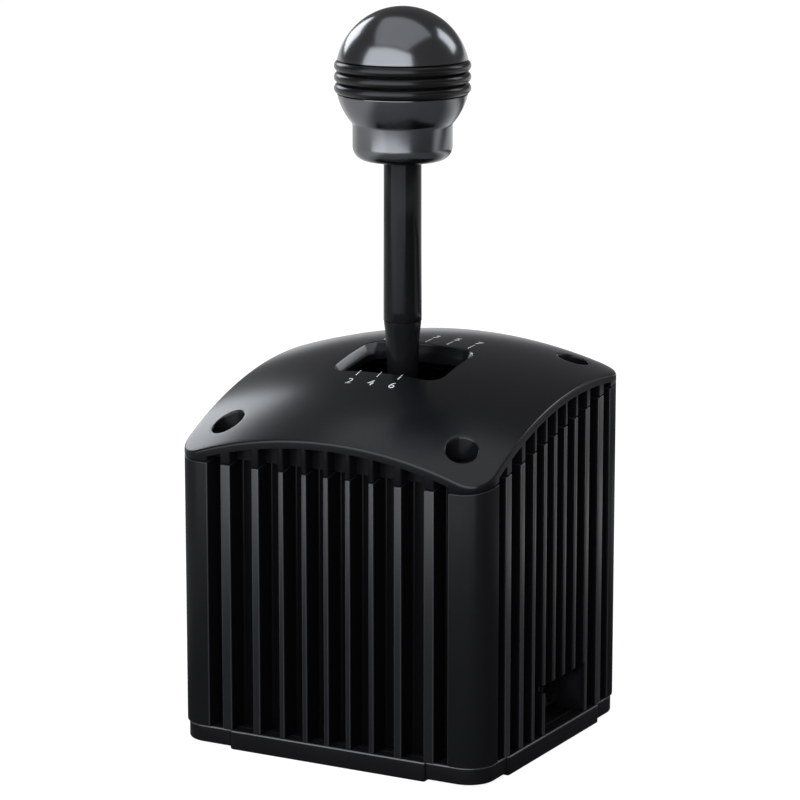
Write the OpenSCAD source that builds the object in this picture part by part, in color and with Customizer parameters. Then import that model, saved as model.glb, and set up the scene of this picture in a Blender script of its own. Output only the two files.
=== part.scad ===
/* [Body] */
// Width of the finned housing, left to right
body_w = 120; // [110:1:140]
// Depth of the finned housing, front to back
body_d = 109; // [100:1:130]
// Radius of the four upright corners
corner_r = 9.6; // [6:0.2:11]
// Height of the seam between housing and cover at the front face
front_seam_z = 101.2; // [96:0.2:102.4]
// Slope of the seam, rising to the back
top_tilt = 11; // [6:0.5:12]
// Depth of the gaps between the housing's fins
gap_depth = 8.5; // [6:0.1:9]
// Wall behind the gaps
wall = 3; // [2:0.1:4]

/* [Fins] */
// Fins on each side of a face's middle fin
fin_side = 4; // [3:1:5]
// Width of the fins near the middle of a face
thin_fin = 1.9; // [1.4:0.1:2.4]
// Width of the outermost fins
thick_fin = 3.8; // [2.4:0.1:4.4]
// Pitch of the middle fins on the front and back
front_pitch = 8.4; // [7.4:0.1:9]
// Pitch of the middle fins on the two sides
side_pitch = 7.6; // [6.8:0.1:8]
// Width of a corner post on the front and back
front_post = 13.2; // [12:0.1:15]
// Width of a corner post on the two sides
side_post = 12; // [11:0.1:14]
// From a corner post's edge to the middle of the outermost fin
outer_inset = 7.2; // [6:0.1:8]

/* [Top cover] */
// Radius of the dome, left to right
dome_side_r = 187; // [175:1:230]
// Radius of the dome, front to back
dome_front_r = 161; // [150:1:200]
// Slope of the dome above the middle of the body, rising to the back
dome_tilt = 9.9; // [7:0.1:11]
// Height of the dome above the middle of the body
dome_z = 133.4; // [132:0.2:138]
// Thickness of the dome
roof = 6; // [4:0.2:8]
// Height of the smooth rim above the cover's windows
rim_band = 3.1; // [2:0.1:4]
// Depth of the cover's windows
window_depth = 5; // [3:0.1:6]
// Open seam between cover and housing
seam = 0.5; // [0.3:0.1:1]
// Width of the lever's opening
gate_w = 39.5; // [38.5:0.5:44]
// Depth of the lever's opening
gate_d = 27; // [26:0.5:32]
// Middle of the lever's opening, front to back
gate_y = 0.7; // [-0.5:0.1:1]
// Corner radius of the lever's opening
gate_r = 4; // [3:0.5:6]
// Bevel round the lever's opening
gate_bevel = 1.8; // [0.5:0.1:2.5]
// Corner screws, from the middle to left and right
corner_x = 45.5; // [44:0.1:47]
// Corner screws, from the middle to front and back
corner_y = 42; // [40:0.1:43]
// Radius of the counterbores for the corner screws
counterbore_r = 5.5; // [5.2:0.1:6]

/* [Base] */
// Height of the base under the housing
base_h = 7; // [6:0.1:10]
// Thickness of the mounting plate
mount_t = 4; // [3:0.1:5]
// Height of the base corners above the floor
corner_lift = 0.8; // [0.4:0.1:1.4]
// How far the base corners stand back from the housing
base_inset = 0.5; // [0.2:0.1:1]
// How far the mounting plate's lips stand out of the housing
lip_proud = 0.4; // [0.2:0.1:1]
// Half width of the lips at the front and back
front_lip = 38.5; // [36:0.1:40]
// Half width of the lips on the two sides
side_lip = 35; // [33:0.1:36]
// Rig bolts, spacing left to right
bolt_x = 64; // [62:1:68]
// Rig bolts, spacing front to back
bolt_y = 54; // [52:1:58]
// Radius of the tapped holes for the rig bolts
bolt_r = 2.5; // [2:0.1:3]

/* [Port] */
// Middle of the port in the right wall, front to back
port_y = 8.65; // [7:0.1:10]
// Width of the port
port_w = 30.7; // [29:0.1:31]
// Height of the port's upper edge on the fins
port_z = 25; // [24:0.1:28]

/* [Lever] */
// Height of the two crossing pivots
pivot_z = 84; // [82:0.5:86]
// Height of the step below the lever's sleeve
step_z = 146.3; // [144:0.1:150]
// Height of the knob's lower face
knob_z = 202.4; // [195:0.1:215]
// Radius of the sleeve at its lower end
sleeve_r = 6.68; // [6.2:0.02:7]
// Radius of the stem where it passes the opening
stem_r = 5; // [4.4:0.1:5.4]
// Swing of the lever to one side, in degrees
select_swing = 15; // [12:0.5:15]
// Swing of the lever to the front or back, in degrees
shift_swing = 7.5; // [6:0.5:7.5]

/* [Knob] */
// Radius of the knob
knob_r = 23.05; // [20:0.05:26]
// Radius of the collar under the knob
collar_r = 17.3; // [15:0.1:18]
// Height of the collar
collar_h = 12.7; // [10:0.1:14]
// Radius of the collar's rounded lower edge
collar_round = 5; // [2:0.1:6]
// Number of grip rings
ring_count = 3; // [2:1:4]
// Pitch of the grip rings
ring_pitch = 3.85; // [3:0.05:4.5]
// How far the grip rings stand out of the knob
ring_proud = 0.5; // [0:0.1:1]

/* [Mechanism] */
// Radius of the axle that the lever shifts on
axle_r = 4; // [3.5:0.1:4.5]
// Radius of the pins that the gimbal swings on
pin_r = 5; // [4:0.1:5.2]
// Thickness of the gimbal's walls
gimbal_t = 6; // [5:0.1:7]
// Height of the gimbal frame
gimbal_h = 20; // [18:0.5:21]
// Thickness of a bearing bracket
bracket_t = 6; // [4:0.1:6]
// Thickness of the shift gate
gate_t = 3; // [2:0.1:4]
// Height of the shift gate's lower face
gate_z = 20.5; // [19:0.1:22]
// Radius of the finger that runs in the shift gate
finger_r = 2.5; // [2:0.1:2.6]
// Radius of the detent plunger
plunger_r = 2.95; // [2.5:0.05:3.2]
// Travel of the detent plunger
detent_travel = 1.2; // [0.6:0.1:1.3]

/* [Fits] */
// Radial clearance of turning and sliding fits
running = 0.05; // [0.02:0.01:0.1]
// Clearance between fixed pieces
fixed = 0.02; // [0.01:0.01:0.05]
// Clearance between pieces that pass each other
pass = 0.4; // [0.3:0.05:0.6]

/* [Hidden] */
$fn = 64;

black = [0.05, 0.05, 0.055];
gunmetal = [0.28, 0.28, 0.3];
rubber = [0.03, 0.03, 0.03];
steel = [0.6, 0.6, 0.62];
bronze = [0.65, 0.48, 0.25];
circuit = [0.05, 0.2, 0.1];

eps = 0.01;
far = 400;
half_w = body_w / 2;
half_d = body_d / 2;
dome_mid = [0, dome_front_r * sin(dome_tilt), dome_z - dome_front_r * cos(dome_tilt)];
cavity_x = half_w - gap_depth - wall;
cavity_y = half_d - gap_depth - wall;
boss_r = counterbore_r + 2;
corner_screw_r = 3;
corner_head_r = 5;
corner_head_h = 4;
corner_screw_l = 25;
corner_seat_z = front_seam_z + 2.2;
base_screw_r = 2.5;
base_head_r = 4.5;
base_head_h = 3;
base_screw_l = 16;
small_screw_r = 2;
small_head_r = 3.5;
small_head_h = 2.4;
lip_t = 5;
side_screw_inset = 18;
front_screw_inset = 16;
sensor_w = 4;
sensor_h = 1;

hub_half = 12;
hub_r = 10;
socket_r = 8;
socket_h = 14;
block_x = 9;
block_y = 7;
block_low = 46;
detent_arm = 34;
detent_z = pivot_z - detent_arm;
gimbal_in_x = hub_half + 1;
gimbal_out_x = gimbal_in_x + gimbal_t;
cheek_half = 9;
cheek_low = 41;
dimple_r = 3.2;
tip_r = plunger_r - 0.55;
shift_bush_r = axle_r + 2;
select_bush_r = pin_r + 3;
flange_t = 0.7;
select_flange_t = 1.5;
pin_room = 5;
spring_room = 11;
bracket_y = cavity_y - bracket_t - pin_room;
bracket_end = bracket_y + bracket_t;
bracket_half = 20;
bracket_slot_w = 14;
bracket_slot_h = 26;
bracket_slot_r = 5;
bracket_slot_low = 57;
foot_l = 10;
foot_y = bracket_y - foot_l;
foot_h = 5;
foot_screw_x = 14;
foot_screw_y = foot_y + foot_l / 2;
gimbal_out_y = bracket_y - spring_room;
gimbal_in_y = gimbal_out_y - gimbal_t;
clip_t = 1;
clip_gap = 0.3;
clip_bite = 0.6;
end_room = 2.5;
pin_end = bracket_end + end_room;
axle_end = gimbal_out_x + end_room;

spring_wire = 0.8;
spring_r = pin_r + 2.5;
spring_turns = 2.5;
spring_low_y = gimbal_out_y + 2.5;
spring_high_y = bracket_y - select_flange_t - 1;
tab_half = spring_r - spring_wire - 0.2;
tab_end = bracket_y - select_flange_t - pass;
tab_z = pivot_z + spring_r + spring_wire + 0.7;
tab_h = 4;
stop_z = pivot_z + 15.5;
stop_h = 5;

jack_w = 13;
jack_h = 11;
jack_l = 17;
jack_pitch = 14;
jack_gap = 0.5;
jack_front = half_w - gap_depth - 1;
plug_w = 9.9;
plug_h = 6.9;
plug_l = 12.5;
latch_w = 4.2;
latch_h = 2;

lane_count = 2;
finger_low = 16.5;
finger_step = 28;
magnet_h = 3;
gate_level = pivot_z - gate_z - gate_t / 2;
gate_slot = 2 * finger_r / cos(select_swing) + gate_t * tan(select_swing) + 2 * pass;
gate_run = gate_level * tan(shift_swing) / cos(select_swing) + finger_r + 2 * pass;
gate_half_x = jack_front - jack_l - jack_gap;
gate_corner_r = 4;
gate_rim = 9;
gate_half_y = gate_run + gate_rim;
pillar_x = gate_half_x - 5;
pillar_y = gate_half_y - 4;
pillar_r = 3.5;

board_t = 1.6;
board_z = base_h + 1.8;
board_top = board_z + board_t;
board_left = 22;
board_gap = 1;
board_half_y = pillar_y - pillar_r - board_gap;
board_right = cavity_x - 1.5;
board_back = 27;
spacer_r = 2.5;
board_screw_r = 1.25;
spacer_y = board_half_y - spacer_r - board_gap;
spacer_spots = [
    [4 - board_left, spacer_y], [4 - board_left, -spacer_y],
    [board_right - spacer_r - board_gap, -spacer_y], [bracket_half + 6, board_back - spacer_r]
];

stem_top = 14;
neck_drop = 28;
stud_r = 4;
stud_low = 14;
stud_high = 20;
waist_z = knob_z + collar_h;
low_mid_z = waist_z + sqrt(knob_r * knob_r - collar_r * collar_r);
band_h = ring_count * ring_pitch;
band_low = low_mid_z - 4.9;
band_high = band_low + band_h;
high_mid_z = band_high - 4.75;
core_r = knob_r - 2.45;
ring_seat = 0.1;
ring_round = (ring_pitch - ring_seat) / 2;
dome_plug_r = 8;
dome_plug_h = 7;

echo(object_height = high_mid_z + knob_r);

// Middle of a fin, counted from the middle of its face: even pitch near the
// middle, widening towards the corner posts
function fin_mid(k, post, pitch) =
    pitch * k + (post - outer_inset - fin_side * pitch) * pow(k / fin_side, 3);
function fin_half(k) =
    (thin_fin + (thick_fin - thin_fin) * max(0, (abs(k) - 2) / (fin_side - 2))) / 2;
function gap_start(k, post, pitch) =
    k < -fin_side ? -post : fin_mid(k, post, pitch) + fin_half(k);
function gap_end(k, post, pitch) =
    k > fin_side ? post : fin_mid(k, post, pitch) - fin_half(k);

module rounded_rect(w, d, r) {
    square([w - 2 * r, d], center = true);
    square([w, d - 2 * r], center = true);
    for (x = [-1, 1], y = [-1, 1])
        translate([x * (w / 2 - r), y * (d / 2 - r)]) circle(r);
}

// Gaps of one face, seen from above, cut in from the front
module face_gaps(post, pitch, reach, depth) {
    for (k = [-fin_side - 1 : fin_side])
        translate([gap_start(k, post, pitch), -reach - 1])
            square([gap_end(k + 1, post, pitch) - gap_start(k, post, pitch), depth + 1]);
}

module all_gaps(depth) {
    for (turn = [0, 180]) rotate(turn) face_gaps(half_w - front_post, front_pitch, half_d, depth);
    for (turn = [90, -90]) rotate(turn) face_gaps(half_d - side_post, side_pitch, half_w, depth);
}

module cavity_outline() {
    difference() {
        square([2 * cavity_x, 2 * cavity_y], center = true);
        at_corners() circle(boss_r);
    }
}

module at_corners() {
    for (x = [-1, 1], y = [-1, 1]) translate([x * corner_x, y * corner_y]) children();
}

module at_pattern(x, y, z) {
    for (i = [-1, 1], j = [-1, 1]) translate([i * x, j * y, z]) children();
}

// Everything above the sloped seam, raised by lift
module above_seam(lift) {
    translate([0, -half_d, front_seam_z + lift])
        rotate([top_tilt, 0, 0]) translate([-far / 2, -far / 2, 0]) cube([far, far, far / 2]);
}

// Solid under the dome: an arc of one radius turned about an axis from left to
// right at the other radius
module dome(drop) {
    translate(dome_mid - [0, 0, drop]) rotate([0, 90, 0]) rotate_extrude($fn = 200) intersection() {
        translate([dome_front_r - dome_side_r, 0]) circle(dome_side_r, $fn = 200);
        translate([0, -half_w - 1]) square([dome_front_r + 1, body_w + 2]);
    }
}

module along_x(x) {
    translate([x, 0, pivot_z]) rotate([0, 90, 0]) children();
}

module along_y(y) {
    translate([0, y, pivot_z]) rotate([-90, 0, 0]) children();
}

// Socket head screw with its seat at z = 0 and its shank pointing down
module cap_screw(r, head_r, head_h, l) {
    difference() {
        cylinder(r = head_r, h = head_h);
        translate([0, 0, head_h / 2]) cylinder(r = head_r * 0.5, h = head_h, $fn = 6);
    }
    translate([0, 0, -l]) cylinder(r = r, h = l + eps);
}

module ring(r_in, r_out, h) {
    difference() {
        cylinder(r = r_out, h = h);
        translate([0, 0, -1]) cylinder(r = r_in, h = h + 2);
    }
}

// Tube of six sides along a list of points that all turn about one axis
function tube_side(points, i) =
    let (a = points[max(0, i - 1)], b = points[min(len(points) - 1, i + 1)])
    (b - a) / norm(b - a);
module tube(points, r) {
    n = len(points);
    axis = [0, 1, 0];
    rings = [for (i = [0 : n - 1]) let (t = tube_side(points, i), u = cross(t, axis) / norm(cross(t, axis)),
        v = cross(u, t)) for (k = [0 : 5]) points[i] + r * (cos(60 * k) * u + sin(60 * k) * v)];
    walls = [for (i = [0 : n - 2], k = [0 : 5]) let (a = 6 * i + k, b = 6 * i + (k + 1) % 6)
        each [[a, b, a + 6], [b, b + 6, a + 6]]];
    caps = [for (k = [1 : 4]) each [[0, k + 1, k], [6 * n - 6, 6 * n - 6 + k, 6 * n - 5 + k]]];
    polyhedron(rings, concat(walls, caps));
}

module base_plate() {
    color(black) difference() {
        translate([0, 0, corner_lift]) linear_extrude(base_h - corner_lift)
            rounded_rect(body_w - 2 * base_inset, body_d - 2 * base_inset, corner_r);
        translate([0, 0, -1]) linear_extrude(mount_t + 1) cross_outline(pass / 2, 1);
        translate([0, 0, -1]) linear_extrude(base_h + 2) difference() {
            cross_outline(pass / 2, 1);
            cross_outline(pass / 2, -lip_t - pass / 2);
        }
        at_corners() translate([0, 0, -1]) cylinder(r = base_screw_r + pass, h = base_h + 2);
        at_corners() cylinder(r = base_head_r + pass, h = corner_lift + base_head_h + pass);
        at_pattern(bolt_x / 2, bolt_y / 2, 0) cylinder(r = bolt_r + 1, h = base_h + 1);
        at_pattern(foot_screw_x, foot_screw_y, 0) cylinder(r = small_screw_r + fixed, h = base_h + 1);
        at_pattern(pillar_x, pillar_y, 0) cylinder(r = small_screw_r + fixed, h = base_h + 1);
        for (spot = spacer_spots) translate(spot) cylinder(r = board_screw_r + fixed, h = base_h + 1);
        plate_screw_spots() cylinder(r = small_screw_r + fixed, h = base_h + 1);
    }
}

// Cross of the mounting plate, with its sides and its ends moved out
module cross_outline(side, end) {
    square([2 * (front_lip + side), 2 * (half_d + lip_proud + end)], center = true);
    square([2 * (half_w + lip_proud + end), 2 * (side_lip + side)], center = true);
}

module plate_screw_spots() {
    for (turn = [0, 180]) rotate(turn) {
        translate([half_w - side_screw_inset, 0, 0]) children();
        translate([0, half_d - front_screw_inset, 0]) children();
    }
}

module mounting_plate() {
    color(black) difference() {
        union() {
            linear_extrude(mount_t) cross_outline(0, 0);
            linear_extrude(base_h) difference() {
                cross_outline(0, 0);
                cross_outline(1, -lip_t);
            }
        }
        at_pattern(bolt_x / 2, bolt_y / 2, -1) cylinder(r = bolt_r, h = mount_t + 2);
        plate_screw_spots() translate([0, 0, -1]) cylinder(r = small_head_r + pass, h = small_head_h + 1);
        plate_screw_spots() translate([0, 0, -1]) cylinder(r = small_screw_r + pass, h = mount_t + 2);
    }
}

module plate_screws() {
    color(steel) plate_screw_spots() translate([0, 0, small_head_h]) mirror([0, 0, 1])
        cap_screw(small_screw_r, small_head_r, small_head_h - eps, base_h - small_head_h - pass);
}

module base_screws() {
    color(steel) at_corners() translate([0, 0, corner_lift + base_head_h + pass]) mirror([0, 0, 1])
        cap_screw(base_screw_r, base_head_r, base_head_h, base_screw_l);
}

module port_cut() {
    in_x = cavity_x - 1;
    chamfer = 3;
    translate([0, port_y + port_w / 2, 0]) rotate([90, 0, 0]) linear_extrude(port_w) polygon([
        [in_x, base_h - 1], [half_w + 1, base_h - 1], [half_w + 1, port_z],
        [half_w, port_z], [half_w - chamfer, port_z - chamfer], [in_x, port_z - chamfer]
    ]);
    fin_back = 2.2;
    translate([half_w - gap_depth, port_y - port_w / 2 - fin_back, port_z - chamfer])
        cube([gap_depth + 1, fin_back + 1, chamfer]);
}

module finned_housing() {
    color(black) difference() {
        translate([0, 0, base_h]) linear_extrude(dome_z - base_h) difference() {
            rounded_rect(body_w, body_d, corner_r);
            all_gaps(gap_depth);
            cavity_outline();
        }
        above_seam(0);
        port_cut();
        at_corners() translate([0, 0, base_h - 1]) cylinder(r = base_screw_r + fixed, h = base_screw_l);
        at_corners() translate([0, 0, corner_seat_z - corner_screw_l - 1])
            cylinder(r = corner_screw_r + fixed, h = far / 4);
    }
}

// Rounded hole through the cover that widens upwards at a bevel along the dome
module gate_opening() {
    translate([0, gate_y, dome_z - far / 8]) linear_extrude(far / 4) rounded_rect(gate_w, gate_d, gate_r);
    sink = gate_bevel + 0.6;
    grow = 0.7;
    translate([0, gate_y, dome_z + gate_y * tan(dome_tilt)]) rotate([dome_tilt, 0, 0])
        translate([0, 0, -sink - grow])
            bevel_ring(gate_w - 2 * grow, gate_d - 2 * grow, gate_r + grow, 2 * sink + grow);
}

// Rounded rectangle whose sides lean out at 45 degrees
module bevel_ring(w, d, r, h) {
    a = w / 2 - r;
    b = d / 2 - r;
    for (x = [-1, 1], y = [-1, 1]) translate([x * a, y * b, 0]) cylinder(r1 = r, r2 = r + h, h = h);
    rotate([90, 0, 90]) translate([0, 0, -a]) linear_extrude(2 * a)
        polygon([[-b - r, 0], [b + r, 0], [b + r + h, h], [-b - r - h, h]]);
    rotate([90, 0, 0]) translate([0, 0, -b]) linear_extrude(2 * b)
        polygon([[-a - r, 0], [a + r, 0], [a + r + h, h], [-a - r - h, h]]);
}

function corner_seat(y) = corner_seat_z + (y + half_d) * tan(top_tilt);

module top_cover() {
    color(black) difference() {
        union() {
            intersection() {
                translate([0, 0, base_h]) linear_extrude(2 * dome_z) rounded_rect(body_w, body_d, corner_r);
                dome(0);
                above_seam(seam);
            }
            intersection() {
                at_corners() cylinder(r = boss_r - 1, h = dome_z);
                above_seam(0);
                dome(roof);
            }
        }
        intersection() {
            linear_extrude(2 * dome_z) cavity_outline();
            dome(roof);
        }
        intersection() {
            linear_extrude(2 * dome_z) all_gaps(window_depth);
            dome(rim_band);
        }
        gate_opening();
        for (y = [-1, 1], x = [-1, 1]) translate([x * corner_x, y * corner_y, 0]) {
            cylinder(r = corner_screw_r + pass, h = 2 * dome_z);
            translate([0, 0, corner_seat(y * corner_y)]) cylinder(r = counterbore_r, h = dome_z);
        }
    }
}

module cover_screws() {
    color(black) for (x = [-1, 1], y = [-1, 1])
        translate([x * corner_x, y * corner_y, corner_seat(y * corner_y)])
            cap_screw(corner_screw_r, corner_head_r, corner_head_h, corner_screw_l);
}

// Five lanes joined by the neutral lane, cut where the finger crosses the plate
module gate_plate() {
    color(steel) translate([0, 0, gate_z]) linear_extrude(gate_t) difference() {
        rounded_rect(2 * gate_half_x, 2 * gate_half_y, gate_corner_r);
        for (lane = [-lane_count : lane_count])
            translate([gate_level * tan(lane * select_swing / lane_count), 0])
                hull() for (y = [-1, 1]) translate([0, y * (gate_run - gate_slot / 2)]) circle(gate_slot / 2);
        square([2 * gate_level * tan(select_swing), gate_slot], center = true);
        for (x = [-1, 1], y = [-1, 1]) translate([x * pillar_x, y * pillar_y]) circle(small_screw_r + fixed);
    }
}

module gate_pillars() {
    color(steel) at_pattern(pillar_x, pillar_y, base_h)
        ring(small_screw_r + fixed, pillar_r, gate_z - base_h);
}

module gate_screws() {
    color(steel) at_pattern(pillar_x, pillar_y, gate_z + gate_t)
        cap_screw(small_screw_r, small_head_r, small_head_h, gate_z + gate_t - mount_t - pass);
}

// Upright plate with a foot towards the middle and a bore for the gimbal's pin
module bracket() {
    difference() {
        union() {
            translate([0, bracket_end, 0]) rotate([90, 0, 0]) linear_extrude(bracket_t) {
                polygon([[-bracket_half, base_h], [bracket_half, base_h],
                    [select_bush_r + 4, pivot_z], [-select_bush_r - 4, pivot_z]]);
                translate([0, pivot_z]) circle(select_bush_r + 5);
            }
            translate([-bracket_half, foot_y, base_h])
                cube([2 * bracket_half, bracket_y - foot_y + 1, foot_h]);
        }
        along_y(bracket_y - 1) cylinder(r = select_bush_r + fixed, h = bracket_t + 2);
        for (x = [-1, 1]) translate([x * foot_screw_x, foot_screw_y, 0])
            cylinder(r = small_screw_r + fixed, h = far / 4);
        translate([0, bracket_end + 1, pivot_z - bracket_slot_low + bracket_slot_h / 2]) rotate([90, 0, 0])
            linear_extrude(bracket_t + 2) rounded_rect(bracket_slot_w, bracket_slot_h, bracket_slot_r);
    }
}

module front_bracket() {
    color(steel) rotate(180) bracket();
    color(steel) translate([-tab_half, -bracket_end, pivot_z + select_bush_r + 3])
        cube([2 * tab_half, bracket_t, stop_z + stop_h - pivot_z - select_bush_r - 3]);
    color(steel) translate([-tab_half, -bracket_end, stop_z])
        cube([2 * tab_half, bracket_end - spring_low_y + spring_wire + pass, stop_h]);
}

module rear_bracket() {
    color(steel) bracket();
}

module bracket_screws() {
    color(steel) at_pattern(foot_screw_x, foot_screw_y, base_h + foot_h)
        cap_screw(small_screw_r, small_head_r, small_head_h, base_h + foot_h - mount_t - pass);
}

module select_bushes() {
    color(bronze) for (turn = [0, 180]) rotate(turn) {
        along_y(bracket_y) ring(pin_r + running, select_bush_r, bracket_t);
        along_y(bracket_y - select_flange_t) ring(pin_r + running, select_bush_r + 2, select_flange_t);
    }
}

module main_board() {
    color(circuit) difference() {
        translate([0, 0, board_z]) linear_extrude(board_t) {
            translate([-board_left, -board_half_y]) square([2 * board_left, 2 * board_half_y]);
            translate([board_left - 1, -board_half_y])
                square([board_right - board_left + 1, board_half_y + board_back]);
        }
        translate([pillar_x, pillar_y, 0]) cylinder(r = pillar_r + 1, h = 2 * board_top);
        for (spot = spacer_spots) translate(spot) cylinder(r = board_screw_r + fixed, h = 2 * board_top);
    }
}

module board_spacers() {
    color(bronze) for (spot = spacer_spots) translate([spot.x, spot.y, base_h])
        ring(board_screw_r + fixed, spacer_r, board_z - base_h);
}

module board_screws() {
    color(steel) for (spot = spacer_spots) translate([spot.x, spot.y, board_top])
        cap_screw(board_screw_r, spacer_r, spacer_r * 0.7, board_top - mount_t - pass);
}

// Two modular sockets side by side, each with a plug space and a latch channel
module data_sockets() {
    color(black) for (side = [-1, 1]) translate([jack_front, port_y + side * jack_pitch / 2, board_top])
        difference() {
            translate([-jack_l, -jack_w / 2, 0]) cube([jack_l, jack_w, jack_h]);
            translate([-plug_l, -plug_w / 2, jack_h - plug_h - 1]) cube([plug_l + 1, plug_w, plug_h]);
            translate([-plug_l, -latch_w / 2, jack_h - plug_h - 1 - latch_h])
                cube([plug_l + 1, latch_w, latch_h + 1]);
        }
}

module position_sensor() {
    color(black) translate([-sensor_w / 2, -sensor_w / 2, board_top]) cube([sensor_w, sensor_w, sensor_h]);
}

module gimbal_frame() {
    color(steel) difference() {
        union() {
            translate([0, 0, pivot_z - gimbal_h / 2]) linear_extrude(gimbal_h)
                rounded_rect(2 * gimbal_out_x, 2 * gimbal_out_y, 4);
            translate([gimbal_in_x, -cheek_half, pivot_z - cheek_low])
                cube([gimbal_t, 2 * cheek_half, cheek_low]);
            translate([-tab_half, -tab_end, tab_z]) cube([2 * tab_half, tab_end - gimbal_in_y, tab_h]);
        }
        translate([0, 0, pivot_z - gimbal_h / 2 - 1]) linear_extrude(gimbal_h + 2)
            rounded_rect(2 * gimbal_in_x, 2 * gimbal_in_y, 3);
        along_x(-gimbal_out_x - 1) cylinder(r = shift_bush_r + fixed, h = 2 * gimbal_out_x + 2);
        along_y(-gimbal_out_y - 1) cylinder(r = pin_r + fixed, h = 2 * gimbal_out_y + 2);
        for (turn = [-shift_swing, 0, shift_swing]) translate([0, 0, pivot_z]) rotate([turn, 0, 0])
            translate([gimbal_in_x + detent_travel - dimple_r, 0, -detent_arm]) sphere(dimple_r);
    }
}

module select_pins() {
    color(steel) for (turn = [0, 180]) rotate(turn) difference() {
        along_y(gimbal_in_y) cylinder(r = pin_r, h = pin_end - gimbal_in_y);
        along_y(bracket_end + clip_gap - fixed) ring(pin_r - clip_bite, pin_r + 1, clip_t + 2 * fixed);
    }
}

module pin_spacers() {
    length = bracket_y - select_flange_t - clip_gap - gimbal_out_y;
    color(bronze) for (turn = [0, 180]) rotate(turn) along_y(gimbal_out_y)
        ring(pin_r + running, spring_r - spring_wire - pass, length);
}

module pin_clips() {
    color(steel) for (turn = [0, 180]) rotate(turn) along_y(bracket_end + clip_gap)
        ring(pin_r - clip_bite + fixed, pin_r + 2.5, clip_t);
}

module shift_bushes() {
    color(bronze) for (turn = [0, 180]) rotate(turn) {
        along_x(gimbal_in_x) ring(axle_r + running, shift_bush_r, gimbal_t);
        along_x(gimbal_in_x - flange_t) ring(axle_r + running, shift_bush_r + 2, flange_t);
    }
}

// Coil round the front pin whose two straight legs rise beside the stop tabs
module centering_spring() {
    steps = 12 * spring_turns;
    coil = [for (i = [0 : steps]) let (a = 180 + 360 * spring_turns * i / steps)
        [spring_r * cos(a), -spring_low_y - (spring_high_y - spring_low_y) * i / steps,
            pivot_z + spring_r * sin(a)]];
    leg_z = stop_z + stop_h;
    path = concat([[-spring_r, -spring_low_y, leg_z]], coil, [[spring_r, -spring_high_y, leg_z]]);
    echo(centering_spring_gap = (spring_high_y - spring_low_y) / spring_turns - 2 * spring_wire);
    color(steel) tube(path, spring_wire);
}

module pivot_hub() {
    color(steel) difference() {
        union() {
            along_x(-hub_half) cylinder(r = hub_r, h = 2 * hub_half);
            translate([0, 0, pivot_z]) cylinder(r = socket_r, h = socket_h);
            translate([-block_x, -block_y, pivot_z - block_low]) cube([2 * block_x, 2 * block_y, block_low]);
        }
        along_x(-hub_half - 1) cylinder(r = axle_r + fixed, h = 2 * hub_half + 2);
        translate([0, 0, pivot_z + axle_r + 2]) cylinder(r = stem_r - 0.5 + fixed, h = socket_h);
        translate([0, 0, pivot_z - block_low - 1]) cylinder(r = finger_r + 1.5 + fixed, h = 8);
        translate([-block_x - 1, 0, detent_z]) rotate([0, 90, 0])
            cylinder(r = plunger_r + running, h = 2 * block_x + 2);
    }
}

module shift_axle() {
    color(steel) difference() {
        along_x(-axle_end) cylinder(r = axle_r, h = 2 * axle_end);
        for (turn = [0, 180]) rotate(turn) along_x(gimbal_out_x + clip_gap - fixed)
            ring(axle_r - clip_bite, axle_r + 1, clip_t + 2 * fixed);
    }
}

module axle_clips() {
    color(steel) for (turn = [0, 180]) rotate(turn) along_x(gimbal_out_x + clip_gap)
        ring(axle_r - clip_bite + fixed, axle_r + 2.5, clip_t);
}

module gate_finger() {
    color(steel) union() {
        translate([0, 0, finger_low]) cylinder(r = finger_r, h = finger_step - finger_low + eps);
        translate([0, 0, finger_step]) cylinder(r = finger_r + 2, h = pivot_z - block_low - finger_step);
        translate([0, 0, pivot_z - block_low - eps]) cylinder(r = finger_r + 1.5, h = 6.5);
    }
}

module position_magnet() {
    color(steel) translate([0, 0, finger_low - magnet_h]) cylinder(r = finger_r, h = magnet_h);
}

module detent_plug() {
    color(steel) translate([-block_x, 0, detent_z]) rotate([0, 90, 0])
        cylinder(r = plunger_r + running - fixed, h = 3);
}

plunger_tip = gimbal_in_x - pass;
plunger_back = 1;

module detent_spring() {
    turns = 5;
    r = plunger_r - 0.9;
    wire = 0.35;
    steps = 8 * turns;
    start = -block_x + 3 + wire + 0.1;
    run = plunger_back - wire - 0.1 - start;
    echo(detent_spring_gap = run / turns - 2 * wire);
    coil = [for (i = [0 : steps]) let (a = 360 * turns * i / steps)
        [r * cos(a), start + run * i / steps, r * sin(a)]];
    color(steel) translate([0, 0, detent_z]) rotate(-90) tube(coil, wire);
}

module detent_plunger() {
    color(steel) translate([0, 0, detent_z]) rotate([0, 90, 0]) {
        translate([0, 0, plunger_back]) cylinder(r = plunger_r, h = plunger_tip - tip_r - plunger_back);
        translate([0, 0, plunger_tip - tip_r]) sphere(tip_r);
    }
}

// Solid of revolution about the upright axis of the lever
module lever_stem() {
    root_z = pivot_z + axle_r + 2.2;
    hub_top = pivot_z + socket_h;
    neck_z = step_z - neck_drop;
    color(black) rotate_extrude() polygon([
        [0, root_z], [stem_r - 0.5, root_z], [stem_r - 0.5, hub_top], [stem_r, hub_top],
        [stem_r, neck_z], [stem_r + 0.9, step_z - 6.3], [stem_r + 1.2, step_z - 3.3], [sleeve_r, step_z],
        [stud_r, step_z], [stud_r, step_z + stem_top], [0, step_z + stem_top]
    ]);
}

module lever_sleeve() {
    color(black) difference() {
        translate([0, 0, step_z]) cylinder(r1 = sleeve_r, r2 = sleeve_r - 0.13, h = knob_z - step_z);
        translate([0, 0, step_z - 1]) cylinder(r = stud_r + fixed, h = knob_z - step_z + 2);
    }
}

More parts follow.
